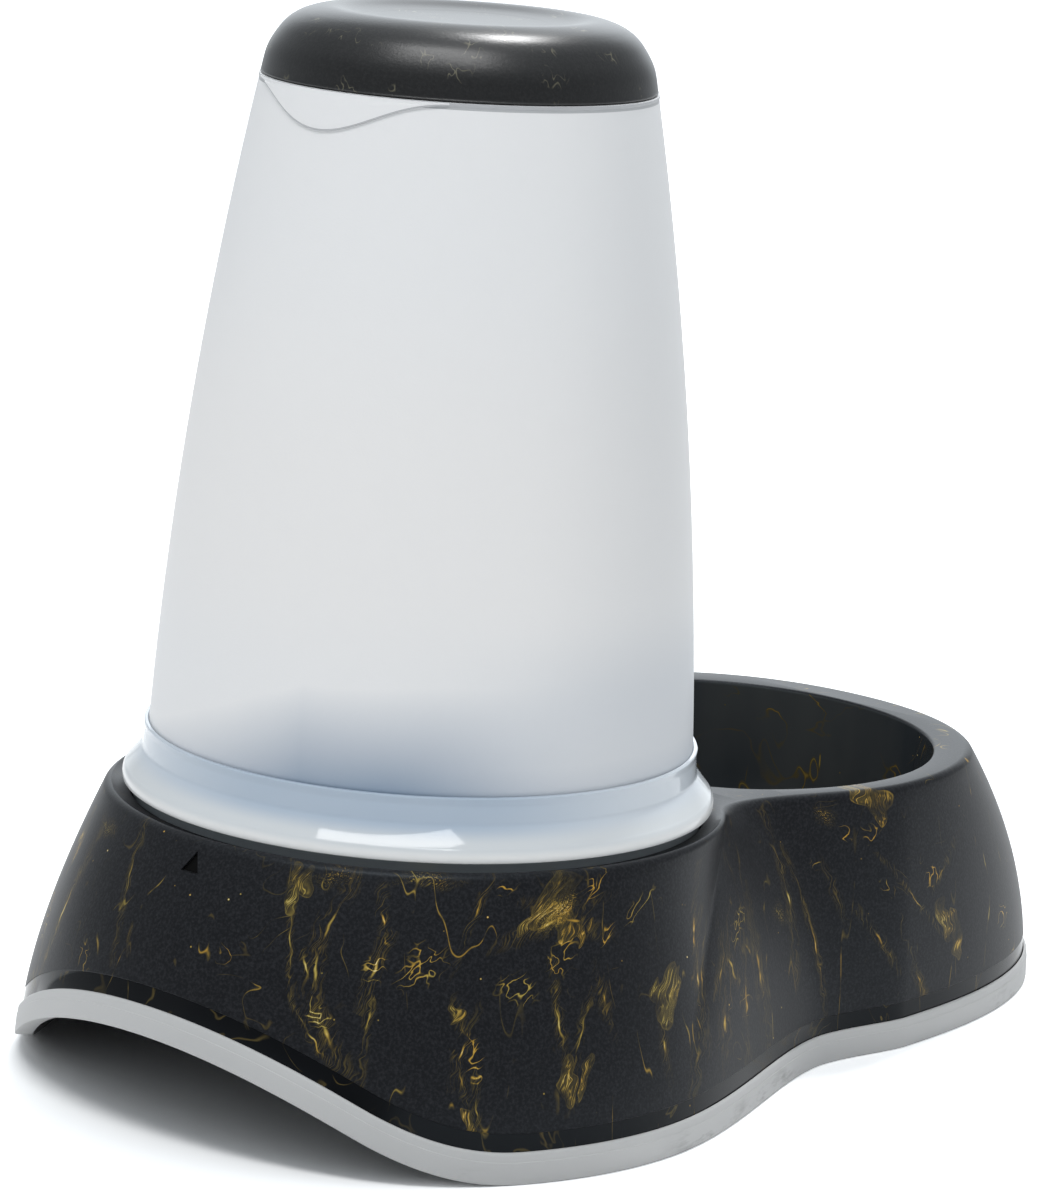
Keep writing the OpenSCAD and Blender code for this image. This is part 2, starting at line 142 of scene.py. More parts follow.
def stack(name, levels):
    """A closed solid through the levels, from the lowest to the highest."""
    n = 2 * (HALF - 1)
    verts = np.concatenate([closed(row) for row in levels])
    top = (len(levels) - 1) * n
    faces = [f for k in range(len(levels) - 1) for f in joined(k * n, (k + 1) * n, n)]

    def mirrored(i):
        return i if i in (0, HALF - 1) else n - i

    for i in range(HALF - 1):
        for base in (top, 0):
            f = [base + i, base + i + 1, base + mirrored(i + 1), base + mirrored(i)]
            f = list(dict.fromkeys(f))
            faces.append(tuple(f[::-1] if base else f))
    return mesh_object(name, verts, faces)


def lathe(name, profile, y=BOTTLE_Y, segs=192, sharp=35):
    """A closed section of radius and height, turned round an upright axis at y."""
    verts, faces, rows = [], [], []
    ang = np.arange(segs) * 2 * math.pi / segs
    for r, z in np.asarray(profile, float):
        if r < 1e-6:
            rows.append([len(verts)])
            verts.append((0, y, z))
        else:
            rows.append(list(range(len(verts), len(verts) + segs)))
            verts.extend(zip(r * np.sin(ang), y - r * np.cos(ang), np.full(segs, z)))
    for a, b in zip(rows, rows[1:] + rows[:1]):
        if len(a) == 1 and len(b) == 1:
            continue
        for i in range(segs):
            j = (i + 1) % segs
            if len(a) == 1:
                faces.append((a[0], b[j], b[i]))
            elif len(b) == 1:
                faces.append((a[i], a[j], b[0]))
            else:
                faces.append((a[i], a[j], b[j], b[i]))
    ob = mesh_object(name, verts, faces, sharp)
    bpy.context.view_layer.objects.active = ob
    bpy.ops.object.select_all(action="DESELECT")
    ob.select_set(True)
    bpy.ops.object.mode_set(mode="EDIT")
    bpy.ops.mesh.select_all(action="SELECT")
    bpy.ops.mesh.normals_make_consistent(inside=False)
    bpy.ops.object.mode_set(mode="OBJECT")
    return ob


def cut(ob, *tools, operation="DIFFERENCE"):
    for t in tools:
        m = ob.modifiers.new("cut", "BOOLEAN")
        m.object, m.operation, m.solver = t, operation, "EXACT"
        bpy.context.view_layer.objects.active = ob
        bpy.ops.object.modifier_apply(modifier=m.name)
        bpy.data.objects.remove(t, do_unlink=True)


class Nodes:
    """A material's node tree, with short ways to add what is used here."""
    def __init__(self, name):
        self.mat = bpy.data.materials.new(name)
        self.mat.use_nodes = True
        self.t = self.mat.node_tree
        self.t.nodes.clear()
        self.out = self.t.nodes.new("ShaderNodeOutputMaterial")
        self.coord = self.t.nodes.new("ShaderNodeTexCoord").outputs["Object"]

    def add(self, kind, inputs=None, **props):
        n = self.t.nodes.new("ShaderNode" + kind)
        for k, v in props.items():
            setattr(n, k, v)
        for k, v in (inputs or {}).items():
            s = n.inputs[k]
            if isinstance(v, bpy.types.NodeSocket):
                self.t.links.new(v, s)
            else:
                s.default_value = v
        return n

    def math(self, op, a, b=0.0, c=0.0, clamp=False):
        return self.add("Math", {0: a, 1: b, 2: c}, operation=op, use_clamp=clamp).outputs[0]

    def times(self, first, *others):
        for other in others:
            first = self.math("MULTIPLY", first, other)
        return first

    def shift(self, value, middle=0.5):
        """How far a value lies from the middle."""
        return self.math("ABSOLUTE", self.math("SUBTRACT", value, middle))

    def vector(self, op, a, b=(0, 0, 0)):
        return self.add("VectorMath", {0: a, 1: b}, operation=op).outputs[0]

    def span(self, value, low, high, smooth=False):
        n = self.add("MapRange", {"Value": value, "From Min": low, "From Max": high})
        n.interpolation_type = "SMOOTHSTEP" if smooth else "LINEAR"
        return n.outputs[0]

    def scaled(self, s, vector=None):
        return self.add("Mapping", {"Vector": vector or self.coord, "Scale": s}).outputs[0]

    def noise(self, scale, detail=3, rough=0.5, vector=None, distortion=0.0):
        return self.add("TexNoise", {"Vector": vector or self.coord, "Scale": scale, "Detail": detail,
                                     "Roughness": rough, "Distortion": distortion}).outputs["Fac"]

    def mix(self, fac, a, b):
        n = self.add("Mix", data_type="RGBA")
        for s, v in ((n.inputs[0], fac), (n.inputs[6], a), (n.inputs[7], b)):
            if isinstance(v, bpy.types.NodeSocket):
                self.t.links.new(v, s)
            else:
                s.default_value = v if s == n.inputs[0] else (*v, 1)
        return n.outputs[2]

    def bump(self, height, strength=0.3, distance=0.0004):
        return self.add("Bump", {"Height": height, "Strength": strength, "Distance": distance}).outputs[0]

    def finish(self, shader):
        self.t.links.new(shader.outputs[0], self.out.inputs["Surface"])
        return self.mat

    def plastic(self, colour, rough, normal, level=None, **extra):
        """A finished material; its gloss is set on the shader's own sockets."""
        if level is not None:
            extra["Specular IOR Level"] = level
        return self.finish(self.add("BsdfPrincipled", {"Base Color": colour, "Roughness": rough,
                                                       "Normal": normal, **extra}))


def in_layers(marks):
    """Marks that lie over each other go to different layers."""
    a, b = [], []
    for mark in marks:
        clear = all(math.hypot(mark[0] - o[0], mark[1] - o[1]) > (mark[2] + o[2]) * 0.75 + 4
                    for o in a)
        (a if clear else b).append(mark)
    return a, b


def mark_maps(me, flat):
    """For each face, the place of its corners in the frame of the nearest mark of each layer."""
    starts = np.empty(len(me.polygons), int)
    sizes = np.empty(len(me.polygons), int)
    me.polygons.foreach_get("loop_start", starts)
    me.polygons.foreach_get("loop_total", sizes)
    owner = np.repeat(np.arange(len(starts)), sizes)
    order = np.argsort(np.repeat(starts, sizes), kind="stable")
    low, high = np.minimum.reduceat(flat, starts), np.maximum.reduceat(flat, starts)
    middle, wide = (low + high) / 2, (high - low).max(axis=1)
    layers = [*in_layers(BLOBS), *in_layers(LINES), KNOTS, FUZZ]
    for k, marks in enumerate(layers):
        m = np.array(marks, float)
        turn = np.radians(m[:, 4])

        def local(p, i):
            d = p * 100 - m[i, :2]
            return np.stack([d[..., 0] * np.cos(turn[i]) - d[..., 1] * np.sin(turn[i]),
                             d[..., 0] * np.sin(turn[i]) + d[..., 1] * np.cos(turn[i])], -1)

        away = np.stack([np.hypot(*np.maximum(abs(local(middle, i)) - m[i, [3, 2]], 0).T)
                         for i in range(len(m))])
        best = away.argmin(axis=0)
        far = (away.min(axis=0) > 14) | (wide > 0.12)
        i = best[owner]
        q = local(flat[order], i) / m[i][:, [3, 2]]
        q = np.where(far[owner][:, None], 9.0, np.clip(q, -30, 30))
        for name, values in (("mark", np.c_[q, np.zeros(len(q))]),
                             ("turn", np.c_[m[i, 3] / 100, m[i, 2] / 100, turn[i]])):
            placed = np.zeros((len(flat), 3), np.float32)
            placed[order] = values
            layer = me.attributes.new(f"{name}{k}", "FLOAT_VECTOR", "CORNER")
            layer.data.foreach_set("vector", placed.ravel())


def wall_masks(m, uv):
    """The marbling's fields, drawn round marks that are placed in the wall's own coordinates."""
    def warp(scale, amount, detail):
        n = m.add("TexNoise", {"Vector": uv, "Scale": scale, "Detail": detail,
                               "Roughness": 0.55}).outputs["Color"]
        return m.vector("MULTIPLY", m.vector("SUBTRACT", n, (0.5, 0.5, 0.5)), (amount, amount, 0))

    def nearest(k, shift):
        """Distance from the nearest mark of a layer, where 1 is its edge."""
        at = m.add("Attribute", attribute_name=f"mark{k}").outputs["Vector"]
        own = m.add("Attribute", attribute_name=f"turn{k}").outputs["Vector"]
        own = m.add("SeparateXYZ", {0: own}).outputs
        turned = m.add("VectorRotate", {"Vector": shift, "Angle": own[2]},
                       rotation_type="Z_AXIS").outputs[0]
        size = m.add("CombineXYZ", {0: own[0], 1: own[1], 2: 1.0}).outputs[0]
        both = m.vector("ADD", at, m.vector("DIVIDE", turned, size))
        return m.add("VectorMath", {0: both}, operation="LENGTH").outputs["Value"]

    coarse, fine = warp(15, 0.07, 1), warp(26, 0.045, 0.6)
    gentle = m.vector("MULTIPLY", fine, (0.45, 0.45, 0))
    moved, moved_fine = m.vector("ADD", uv, coarse), m.vector("ADD", uv, fine)
    blob = m.math("MINIMUM", nearest(0, coarse), nearest(1, coarse))
    line = m.math("MINIMUM", nearest(2, gentle), nearest(3, gentle))
    knot, fuzz = nearest(4, fine), nearest(5, coarse)

    # blobs are smears of strands with a thin bright rim
    field = m.noise(1.0, 2, 0.5, m.scaled((105, 13, 1), moved), 0.5)
    strands = m.math("MAXIMUM", m.math("POWER", m.span(m.shift(field), 0.08, 0.0), 2.2),
                     m.times(m.span(field, 0.5, 0.7), 0.45))
    body = m.times(m.span(blob, 1.0, 0.7), m.math("MULTIPLY_ADD", strands, 0.66, 0.16))
    rim = m.times(m.span(blob, 1.0, 0.96), m.span(blob, 0.84, 0.95), 0.28)
    veil = m.math("MULTIPLY_ADD", m.span(m.noise(13, 2, 0.5, moved), 0.38, 0.62), 0.75, 0.25)
    blobs = m.times(m.math("ADD", body, rim), veil)

    dust = m.span(m.noise(260, 3, 0.7, moved_fine), 0.5, 0.72)
    fuzzes = m.times(m.span(fuzz, 1.15, 0.1), dust, 0.95)

    # lines are beaded threads with fine hairs beside them
    beads = m.span(m.noise(22, 1, 0.5, uv), 0.34, 0.62)
    threads = m.times(m.span(line, 0.85, 0.1), m.math("MULTIPLY_ADD", beads, 0.62, 0.20))
    hair = m.span(m.shift(m.noise(1.0, 2, 0.5, m.scaled((110, 7, 1), moved_fine))), 0.05, 0.0)
    hairs = m.times(m.span(line, 4.5, 1.0), hair, 0.34)
    lines = m.math("MAXIMUM", threads, hairs)

    curl = m.span(m.shift(m.noise(34, 0.6, 0.4, moved_fine)), 0.034, 0.004)
    knots = m.times(m.span(knot, 1.25, 0.6), curl, 0.62)
    return m.math("ADD", m.math("MAXIMUM", blobs, lines), m.math("MAXIMUM", knots, fuzzes), clamp=True)


def base_material(kind):
    """The marbled black plastic: the outer wall, the bowl, or the glossy band over the ring."""
    m = Nodes("base_plastic_" + kind)
    low = m.noise(30, 3, 0.5, m.scaled((1, 1, 0.3)))
    threads = m.span(m.shift(m.noise(62, 2, 0.5, m.scaled((1, 1, 0.10)), 0.25)), 0.007, 0.001)
    threads = m.times(threads, m.span(low, 0.42, 0.56), 0.46)
    curls = m.span(m.shift(m.noise(60, 1, 0.5, m.coord, 1.0)), 0.006, 0.001)
    curls = m.times(curls, m.span(low, 0.50, 0.38), 0.42)
    broken = m.span(m.noise(120, 2, 0.5), 0.47, 0.62)
    cells = m.add("TexVoronoi", {"Vector": m.coord, "Scale": 340.0}, feature="F1")
    keep = m.add("SeparateColor", {0: cells.outputs["Color"]}).outputs[0]
    specks = m.times(m.span(cells.outputs["Distance"], 0.12, 0.05), m.span(keep, 0.90, 0.91),
                     m.span(m.noise(90, 2), 0.42, 0.62))
    gold = m.math("MAXIMUM", m.times(m.math("MAXIMUM", threads, curls), broken), specks)
    if kind == "wall":
        uv = m.add("UVMap", uv_map="wall").outputs[0]
        gold = m.math("MAXIMUM", gold, wall_masks(m, uv))
        grain = m.noise(1300, 2, 0.6)
        rough, bump = 0.37, m.bump(grain, 0.13, 0.00025)
        black = m.mix(m.span(grain, 0.42, 0.72), (0.0085, 0.0084, 0.0094), (0.0215, 0.0215, 0.0240))
    else:
        film = m.span(m.shift(m.noise(42, 3, 0.55, m.coord, 0.6)), 0.013, 0.001)
        film = m.times(film, m.span(m.noise(40, 2), 0.40, 0.56), 0.36)
        strength, rough, dark, pale = {
            "bowl": (1.0, 0.14, (0.028, 0.032, 0.036), (0.046, 0.049, 0.049)),
            "band": (0.75, 0.1, (0.0035, 0.0035, 0.0040), (0.0060, 0.0060, 0.0065))}[kind]
        gold = m.times(m.math("MAXIMUM", gold, film), strength)
        bump = m.bump(m.noise(40, 2), 0.05, 0.0004)
        black = m.mix(m.span(low, 0.4, 0.65), dark, pale)
    tint = m.mix(m.noise(55, 2), (0.085, 0.056, 0.018), (0.066, 0.056, 0.020))
    hue = m.mix(m.span(m.noise(48, 2), 0.42, 0.62), (0.50, 0.285, 0.040), (0.40, 0.305, 0.070))
    col = m.mix(m.span(gold, 0.02, 0.30), black, tint)
    col = m.mix(m.span(gold, 0.26, 0.62), col, hue)
    col = m.mix(m.span(gold, 0.66, 1.0), col, (0.84, 0.72, 0.38))
    return m.plastic(col, rough, bump, 0.14 if kind == "band" else 0.16,
                     **{"Specular Tint": (0.78, 0.90, 1.0, 1)})


def plain(name, colour, rough, grain=500, strength=0.1, vary=0.06, level=None, **extra):
    """One colour, a little uneven, with a fine grain."""
    m = Nodes(name)
    cloud = m.noise(30, 4)
    dark = tuple(c * (1 - vary * 3) for c in colour)
    pale = tuple(min(1, c * (1 + vary * 3)) for c in colour)
    return m.plastic(m.mix(cloud, dark, pale), rough, m.bump(m.noise(grain, 2), strength, 0.0002),
                     level, **extra)


def side_to_side(m, xyz):
    """Place across the bottle as the photo shows it, in half widths, with 0 in its middle."""
    return m.math("MULTIPLY_ADD", xyz[0], -10.5, m.math("MULTIPLY_ADD", xyz[1], -8.62, 0.589))


def frosted_material():
    m = Nodes("frosted_plastic")
    xyz = m.add("SeparateXYZ", {0: m.coord}).outputs
    # the wall is pale, with painted blue-grey shade low down for the dark funnel and base seen through it
    across = side_to_side(m, xyz)
    height = m.math("ADD", xyz[2], m.math("MULTIPLY_ADD", m.noise(11, 2), 0.016, -0.008))
    height = m.math("MULTIPLY_ADD", m.math("MINIMUM", m.math("ADD", across, 0.4), 0.0), -0.042, height)
    left = m.span(height, 0.1225, 0.0945)
    right = m.math("ADD", m.times(m.span(height, 0.142, 0.113, smooth=True), 0.20),
                   m.times(m.span(xyz[2], 0.101, 0.094), 0.14))
    to_right = m.span(across, -0.15, 0.7, smooth=True)
    low = m.math("ADD", m.times(left, m.math("SUBTRACT", 1.0, to_right)), m.times(right, to_right))
    warm = m.times(m.span(xyz[2], 0.24, 0.17, smooth=True), m.span(xyz[2], 0.11, 0.15, smooth=True), 0.6)
    # painted shade: the wall darkens towards its right edge in the front view
    edge = m.times(m.span(across, 0.3, 0.9, smooth=True), 0.4)
    col = m.mix(m.noise(14, 3, 0.55), (0.778, 0.778, 0.783), (0.812, 0.807, 0.804))
    col = m.mix(warm, col, (0.815, 0.795, 0.780))
    col = m.mix(edge, col, (0.60, 0.61, 0.62))
    # painted shade: blue-grey low on the wall, standing for the dark base seen through it
    col = m.mix(low, col, (0.235, 0.305, 0.40))
    return m.plastic(col, 0.45, m.bump(m.noise(1500, 2, 0.6), 0.12, 0.0002), 0.12)


def clear_material():
    m = Nodes("clear_plastic")
    xyz = m.add("SeparateXYZ", {0: m.coord}).outputs
    # painted light and shade: lighter towards the sides, darker and bluer in the middle where the dark
    # base shows through
    edge = m.span(m.shift(side_to_side(m, xyz), -0.15), 0.35, 1.05, smooth=True)
    col = m.mix(m.noise(24, 3, 0.5, m.scaled((1, 1, 3))), (0.38, 0.46, 0.56), (0.44, 0.51, 0.59))
    col = m.mix(m.times(edge, 0.9), col, (0.64, 0.68, 0.72))
    # shoulder, flange and skirt, from the top down: a lighter shoulder, a painted highlight along the
    # flange's lower edge, and painted shade on the skirt in the gap under the flange
    col = m.mix(m.span(xyz[2], 0.0865, 0.0822, smooth=True), col, (0.62, 0.645, 0.66))
    col = m.mix(m.span(xyz[2], 0.0812, 0.0792, smooth=True), col, (0.84, 0.84, 0.83))
    col = m.mix(m.span(xyz[2], 0.07785, 0.0776), col, (0.36, 0.39, 0.41))
    return m.plastic(col, 0.06, m.bump(m.noise(60, 2), 0.05, 0.0005), 0.33)


def lid_material():
    m = Nodes("lid_plastic")
    wisp = m.span(m.shift(m.noise(330, 1, 0.5, m.scaled((1, 1, 0.5)), 0.3)), 0.022, 0.002)
    wisp = m.times(wisp, m.span(m.noise(110, 2), 0.59, 0.68), 0.24)
    grain = m.noise(1300, 2, 0.6)
    black = m.mix(m.span(grain, 0.42, 0.72), (0.0028, 0.0028, 0.0031), (0.0100, 0.0100, 0.0103))
    return m.plastic(m.mix(wisp, black, (0.50, 0.46, 0.30)), 0.33, m.bump(grain, 0.13, 0.00025), 0.56)


def ring_material():
    m = Nodes("ring_rubber")
    xyz = m.add("SeparateXYZ", {0: m.coord}).outputs
    grey = m.mix(m.noise(18, 3), (0.475, 0.475, 0.472), (0.545, 0.545, 0.54))
    # smudges sit in patches near the floor
    patch = m.span(m.noise(14, 2, 0.5, m.scaled((1, 1, 0.4))), 0.46, 0.56)
    rub = m.span(m.noise(120, 4, 0.75, m.scaled((0.4, 0.4, 1.6))), 0.50, 0.74)
    smudge = m.times(patch, rub, m.span(xyz[2], 0.0072, 0.0025), 0.75)
    col = m.mix(smudge, grey, (0.075, 0.072, 0.068))
    return m.plastic(col, 0.55, m.bump(m.noise(1100, 2), 0.1, 0.0002), 0.4)


def set_material(ob, *mats):
    ob.data.materials.clear()
    for mat in mats:
        ob.data.materials.append(mat)


def piece(ob, body, node):
    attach(ob, body)
    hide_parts(node)


# the marks seen in the marbling: place along the wall from its middle at the back, height,
# half length and half width in millimetres, and turn in degrees
BLOBS = [(-30, 69.8, 7, 1.7, 23), (-32, 72.3, 3.9, 1.2, 8), (-95, 69.4, 7.2, 5.2, 6),
         (-101, 64.9, 9.7, 2.6, 59), (-92, 63.8, 3.4, 1.6, -28), (-108, 61.2, 5, 1.2, 39),
         (-155, 40.3, 9, 4.4, 31), (-148, 43.8, 4, 2.2, 24), (-158, 40.8, 6.1, 2.2, 12),
         (-125, 25, 8, 2.2, 24), (-130, 25.5, 6, 1.4, 3), (-100, 16.4, 5.4, 1.6, 37),
         (-85, 43.6, 3, 1, 17), (-49, 41.8, 4.1, 1.1, 33), (-263, 71.7, 6, 3.7, 67),
         (-264, 67.6, 4.7, 2.4, 21), (-290, 33.4, 8.4, 2.9, 18), (-295, 28, 9, 2.4, 11),
         (-111, 61.8, 2.2, 1.1, 33), (60, 62, 9, 3, -20), (86, 40, 8, 3.4, -28), (128, 54, 7, 3, -40),
         (150, 26, 8, 2.4, -12), (196, 50, 9, 3.4, -30), (246, 36, 8, 2.8, 20), (282, 58, 7, 4, -60),
         (318, 34, 7, 2.2, 10), (12, 50, 5, 1.2, 12)]
FUZZ = [(-38, 73.6, 5.6, 2.6, -79), (-60, 74, 9, 2.6, -89), (-249, 68.1, 3.4, 3, 59),
        (-219, 45.8, 4.5, 3.8, 46), (-98, 67.2, 6.5, 5.5, 45), (40, 70, 7, 3, 80), (108, 66, 6, 4, 60),
        (222, 64, 6, 4, -50)]
LINES = [(-43, 62.1, 5, 0.7, -2), (-45, 51.3, 7.8, 0.7, 22), (-55, 36, 6.4, 0.8, 43),
         (-55, 65.2, 3.6, 0.4, 34), (-59, 54.3, 6, 0.7, 7), (-63, 41.4, 8.4, 0.4, 14),
         (-89, 39.6, 3.2, 0.5, 40), (-91, 34.2, 3.3, 0.5, 3), (-93, 28, 4.8, 0.4, 32),
         (-100, 19.8, 4.8, 0.4, 21), (-93, 73.8, 3.6, 0.7, 20), (-76, 68.4, 4.4, 0.4, 12),
         (-116, 39.6, 11.2, 0.4, 36), (-124, 37, 6.8, 0.5, 9), (-171, 41.8, 9.5, 0.6, 30),
         (-174, 40.8, 7.6, 0.5, 19), (-186, 28, 3.5, 0.9, 2), (-183, 40.9, 4, 0.8, -19),
         (-189, 39.8, 6.1, 0.7, 40), (-196, 29, 9.2, 0.6, 3), (-204, 35, 8, 1, 8),
         (-226, 48.2, 10.3, 0.6, -12), (-232, 35, 12.5, 0.5, 0), (-245, 46.8, 2.9, 0.6, 9),
         (-260, 31.9, 6.9, 0.6, 41), (-280, 17.2, 5.1, 0.5, 24), (-35, 57.9, 15.2, 0.3, 25),
         (-50, 36.3, 11.6, 0.3, 48), (-42, 52.2, 5, 0.4, 38), (-128, 43.6, 3.9, 0.5, 43),
         (-290, 47.7, 3.9, 0.5, -52), (-176, 23.4, 3.6, 0.7, -2), (-159, 28.6, 4.1, 0.5, 32),
         (-97, 63.7, 4.4, 0.9, -70), (-104, 64.2, 5.6, 0.7, 72), (-161, 53.7, 9, 0.5, 40),
         (-277, 41.6, 7.5, 0.3, 45), (52, 46, 11, 0.7, -20), (74, 58, 9, 0.5, -10),
         (100, 30, 12, 0.6, -24), (120, 44, 9, 0.6, 8), (164, 48, 12, 0.7, -16), (178, 34, 9, 0.5, -6),
         (210, 30, 12, 0.6, -14), (232, 52, 10, 0.5, 12), (264, 30, 9, 0.6, -30), (300, 44, 9, 0.5, 24),
         (20, 62, 7, 0.5, 10)]
KNOTS = [(-59, 54.3, 5.5, 2.6, 14), (-71, 54.2, 6, 5.3, -55), (-69, 56, 4.6, 2.6, 37),
         (-104, 72.4, 4.9, 2.9, 41), (-125, 65.1, 3.2, 3.7, 44), (-118, 59.7, 3, 2, 32),
         (-261, 62.4, 2.6, 2.8, 10), (-265, 47, 3, 2.2, 66), (-253, 62.8, 2.4, 1.8, -23),
         (-107, 55.6, 5.4, 3.7, 37), (-99, 48.6, 7, 2.9, 67), (-241, 55.6, 2.4, 2.1, -6),
         (-95, 31.5, 6.9, 2.3, 34), (-285, 47.2, 3.9, 2.6, -79), (-80, 73.2, 3, 1.8, 49),
         (-323, 26.7, 3.4, 4.8, 16), (-193, 49, 3.6, 6, 37), (-50, 41.2, 4.6, 2.2, 42), (70, 40, 7, 4, 20),
         (140, 40, 6, 4, -30), (186, 62, 6, 4, 10), (268, 44, 6, 4, -40), (30, 40, 5, 3, 20),
         (-20, 52, 3, 2, 10)]

base_mat, bowl_mat, band_mat = base_material("wall"), base_material("bowl"), base_material("band")
ring_mat, frost_mat = ring_material(), frosted_material()
clear_mat, lid_mat = clear_material(), lid_material()
seal_mat = plain("seal_rubber", (0.055, 0.055, 0.06), 0.6, vary=0.04)
mark_mat = plain("mark_black", (0.002, 0.002, 0.002), 0.8, vary=0.04, level=0.1)
# a grey painted shade line under the lid's rim and along the tab's lower edge
rim_shade_mat = plain("frosted_painted_shade", (0.44, 0.445, 0.455), 0.4, 900, vary=0.02)
cap_mat = plain("cap_plastic", (0.04, 0.042, 0.05), 0.38, 700, 0.12, 0.05)
natural_mat = plain("natural_plastic", (0.58, 0.58, 0.53), 0.38, 600, 0.08, 0.03)
steel_mat = plain("spring_steel", (0.6, 0.61, 0.63), 0.22, 900, vary=0.02, Metallic=1.0)

for node, mat in {"base_shell": base_mat, "foot_ring": ring_mat, "tank_body": frost_mat,
                  "tank_foot": clear_mat, "tank_seal": seal_mat, "lid": lid_mat, "valve_cap": cap_mat,
                  "cap_gasket": seal_mat, "valve_guide": natural_mat, "valve_plunger": natural_mat,
                  "plunger_seal": seal_mat, "valve_spring": steel_mat}.items():
    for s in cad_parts[node].material_slots:
        s.material = mat

# the base's skin: a loft from the foot to the land, hollow below, with the bowl and the well
wall_start, wall_end = RING_TOP + GLOSS_BAND + 0.25, TOP - EDGE
outer = [level(ARCH + RING_FLOOR, 0), level(RING_TOP - 0.3, 0), level(RING_TOP - 0.1, 0.22),
         level(RING_TOP + GLOSS_BAND, 0.22), level(wall_start, 0)]
outer += [level(wall_start + (wall_end - wall_start) * t, 0) for t in np.linspace(0, 1, 24)[1:]]
outer += [level(TOP - EDGE * (1 - math.sin(a)), EDGE * (1 - math.cos(a)))
          for a in np.radians(np.linspace(0, 90, 8))[1:]]
skin = stack("base_skin", outer)
under = LAND_Z - WALL - (LAND_Z - SEAT_Z) * soft((80 - LAND[:, 1]) / 14)
hollow = [level(-5, WALL)] + [level(under * t, WALL) for t in np.linspace(0.1, 1, 12)]


def bowl_profile(d, z_top, lip=0.0):
    """The bowl's round section, d outside its inner face, with a rounded rim where lip is given."""
    a = np.radians(np.linspace(0, 90, 28))
    run = BOWL_R - 1.5 - BOWL_FLOOR_R
    rise = run * 1.25
    pts = [(0, BOWL_FLOOR - d)]
    pts += list(zip(BOWL_FLOOR_R + (run + d) * np.sin(a),
                    BOWL_FLOOR - d + (rise + d) * (1 - np.cos(a))))
    if lip:
        b = np.radians(np.linspace(0, 90, 7))
        pts += list(zip(BOWL_R + lip * (1 - np.cos(b)), LAND_Z - lip + lip * np.sin(b)))
        return pts + [(BOWL_R + lip + 0.05, z_top), (0, z_top)]
    return pts + [(BOWL_R + d, z_top), (0, z_top)]


def block(name, low, high):
    (a, b, c), (d, e, f) = low, high
    v = [(a, b, c), (d, b, c), (d, e, c), (a, e, c), (a, b, f), (d, b, f), (d, e, f), (a, e, f)]
    return mesh_object(name, v, [(0, 3, 2, 1), (4, 5, 6, 7), (0, 1, 5, 4), (1, 2, 6, 5),
                                 (2, 3, 7, 6), (3, 0, 4, 7)])


def channel(name, wall, top):
    """The channel between well and bowl, with a wall round it or none."""
    edge = BOTTLE_Y - WELL_R
    return block(name, (-CHANNEL - wall, edge - 30, BOWL_FLOOR - wall), (CHANNEL + wall, edge + 20, top))


# first the walls of bowl, well and channel are added, and then their insides are cut
shelf_under = SEAT_Z - SHELF_WALL
cut(skin, stack("hollow", hollow))
cut(skin, lathe("bowl_wall", bowl_profile(WALL, LAND_Z - SHELF_WALL), BOWL_Y, 256),
    lathe("well_wall", [(0, BOWL_FLOOR - WALL), (WELL_R + WALL, BOWL_FLOOR - WALL),
                        (WELL_R + WALL, shelf_under), (0, shelf_under)]),
    channel("channel_wall", WALL, shelf_under), operation="UNION")
cut(skin, lathe("bowl_inside", bowl_profile(0, LAND_Z + 6, 1.0), BOWL_Y, 256),
    lathe("well_inside", [(0, BOWL_FLOOR), (WELL_R - 2, BOWL_FLOOR), (WELL_R, BOWL_FLOOR + 2),
                          (WELL_R, SEAT_Z + 5), (0, SEAT_Z + 5)]),
    channel("channel_inside", 0, SEAT_Z + 5),
    lathe("seat", [(0, SEAT_Z), (SEAT_R, SEAT_Z), (SEAT_R, 74.8), (SEAT_R + 0.3, 75.1),
                   (FLANGE_R + 0.6, 75.1), (FLANGE_R + 2.7, 76.35), (FLANGE_R + 3.0, 76.6),
                   (FLANGE_R + 3.1, 82), (0, 82)], segs=256))
(mark_low, mark_out), (mark_high, mark_in) = MARK_FOOT, MARK_TIP
corners = [(-MARK_HALF, mark_low, mark_out), (MARK_HALF, mark_low, mark_out), (0, mark_high, mark_in)]
cut(skin, mesh_object("mark", [(x, BOTTLE_Y + y + out, z) for out in (0, 8) for x, z, y in corners],
                      [(0, 1, 2), (5, 4, 3), (0, 3, 4, 1), (1, 4, 5, 2), (2, 5, 3, 0)]))
post_foot = BOWL_FLOOR - SHELF_WALL
cut(skin, lathe("post", [(0, post_foot), (4, post_foot), (4, 45.4), (3.4, 46), (0, 46)], segs=48),
    operation="UNION")
set_material(skin, base_mat, bowl_mat, mark_mat, band_mat)
smooth(skin, 40)


def in_mark(c):
    """Whether a face's middle lies in the recess of the triangle mark."""
    if abs(c.x) >= MARK_HALF + 0.1 or not mark_low - 0.1 < c.z < mark_high + 0.1:
        return False
    y = float(np.interp(c.z, [mark_low, mark_high], [mark_out, mark_in])) + BOTTLE_Y
    half = MARK_HALF * (mark_high - c.z) / (mark_high - mark_low)
    return abs(c.x) <= half + 0.05 and y - 0.1 < c.y < y + 0.6


